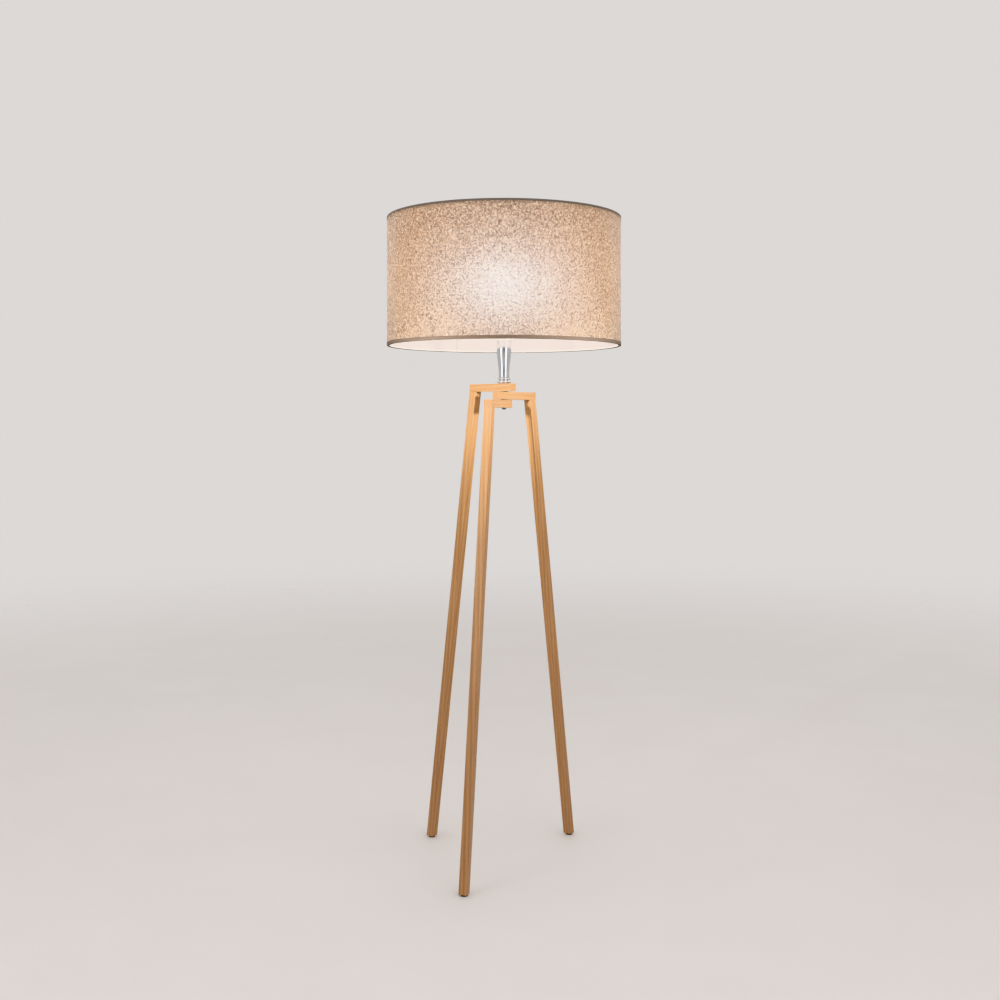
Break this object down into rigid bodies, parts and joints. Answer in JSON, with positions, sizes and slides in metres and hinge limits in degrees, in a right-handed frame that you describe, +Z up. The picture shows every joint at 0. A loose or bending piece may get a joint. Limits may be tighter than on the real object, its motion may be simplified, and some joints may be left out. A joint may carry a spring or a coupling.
{
  "type": "tripod floor lamp",
  "caption": "Wooden tripod floor lamp: slim square legs on stacked swivelling arms, a chrome column and a wide fabric drum shade with a screw-in bulb.",
  "frame": {"origin": "on the floor, on the vertical axis of the column and the shade", "axes": "+Z up along the column; the front leg points towards -Y and a little towards -X; +X is to the right seen from the front"},
  "size_m": [0.55, 0.55, 1.508],
  "materials": {
    "honey_wood": "satin lacquered honey-coloured wood with fine straight grain",
    "foot_rubber": "matt dark brown rubber",
    "chrome": "polished",
    "zinc_steel": "bright zinc plate",
    "brass": "plain stamped brass",
    "black_plastic": "matt moulded",
    "white_plastic": "satin moulded",
    "ceramic": "glazed",
    "bulb_metal": "bright",
    "opal_glass": "opal, lit warm white",
    "white_wire": "white enamelled wire",
    "shade_fabric": "mottled beige boucle, lit from inside",
    "shade_lining": "smooth white laminate lining",
    "edge_trim": "dark brown woven tape"
  },
  "bodies": {
    "head": {"hollow_bolt": "zinc_steel", "lower_nut": "zinc_steel", "nut_washer": "zinc_steel", "lower_arm_washer": "zinc_steel", "upper_arm_washer": "zinc_steel", "upper_nut": "zinc_steel", "cord_bushing": "black_plastic", "base_flange": "chrome", "base_collar": "chrome", "chrome_sleeve": "chrome", "holder_cap": "white_plastic", "holder_skirt": "white_plastic", "holder_insert": "ceramic", "screw_shell": "brass", "centre_contact": "brass", "shade_clamp_ring": "white_plastic"},
    "left_leg_assembly": {"left_arm": "honey_wood", "left_leg": "honey_wood", "left_dowel": "honey_wood", "left_foot_pad": "foot_rubber"},
    "right_leg_assembly": {"right_arm": "honey_wood", "right_leg": "honey_wood", "right_dowel": "honey_wood", "right_foot_pad": "foot_rubber"},
    "front_leg_assembly": {"front_arm": "honey_wood", "front_leg": "honey_wood", "front_dowel": "honey_wood", "front_foot_pad": "foot_rubber"},
    "shade": {"spider_hub": "white_wire", "spider_wire_1": "white_wire", "spider_wire_2": "white_wire", "spider_wire_3": "white_wire", "bottom_hoop": "white_wire", "top_hoop": "white_wire", "shade_fabric": "shade_fabric", "shade_lining": "shade_lining", "bottom_trim": "edge_trim", "top_trim": "edge_trim"},
    "bulb_tip": {"bulb_contact": "bulb_metal"},
    "bulb": {"bulb_insulator": "black_plastic", "bulb_screw_cap": "bulb_metal", "bulb_neck": "opal_glass", "bulb_globe": "opal_glass"}
  },
  "joints": [
    {"name": "left_leg_swivel", "type": "hinge", "parent": "head", "child": "left_leg_assembly", "pos_m": [0, 0, 1.1111], "axis": [0, 0, 1], "range_deg": [-25, 75]},
    {"name": "right_leg_swivel", "type": "hinge", "parent": "head", "child": "right_leg_assembly", "pos_m": [0, 0, 1.0917], "axis": [0, 0, 1], "range_deg": [-125, 45]},
    {"name": "front_leg_swivel", "type": "hinge", "parent": "head", "child": "front_leg_assembly", "pos_m": [0, 0, 1.0723], "axis": [0, 0, 1], "range_deg": [-15, 15]},
    {"name": "shade_turn", "type": "hinge", "parent": "head", "child": "shade", "pos_m": [0, 0, 1.2495], "axis": [0, 0, 1], "continuous": true},
    {"name": "bulb_lift", "type": "slide", "parent": "head", "child": "bulb_tip", "axis": [0, 0, 1], "range_m": [0, 0.0182]},
    {"name": "bulb_unscrew", "type": "hinge", "parent": "bulb_tip", "child": "bulb", "pos_m": [0, 0, 1.265], "axis": [0, 0, 1], "range_deg": [0, 1800]}
  ],
  "couplings": [
    {"joint": "bulb_lift", "follows": "bulb_unscrew", "m_per_rad": 0.00057757}
  ]
}
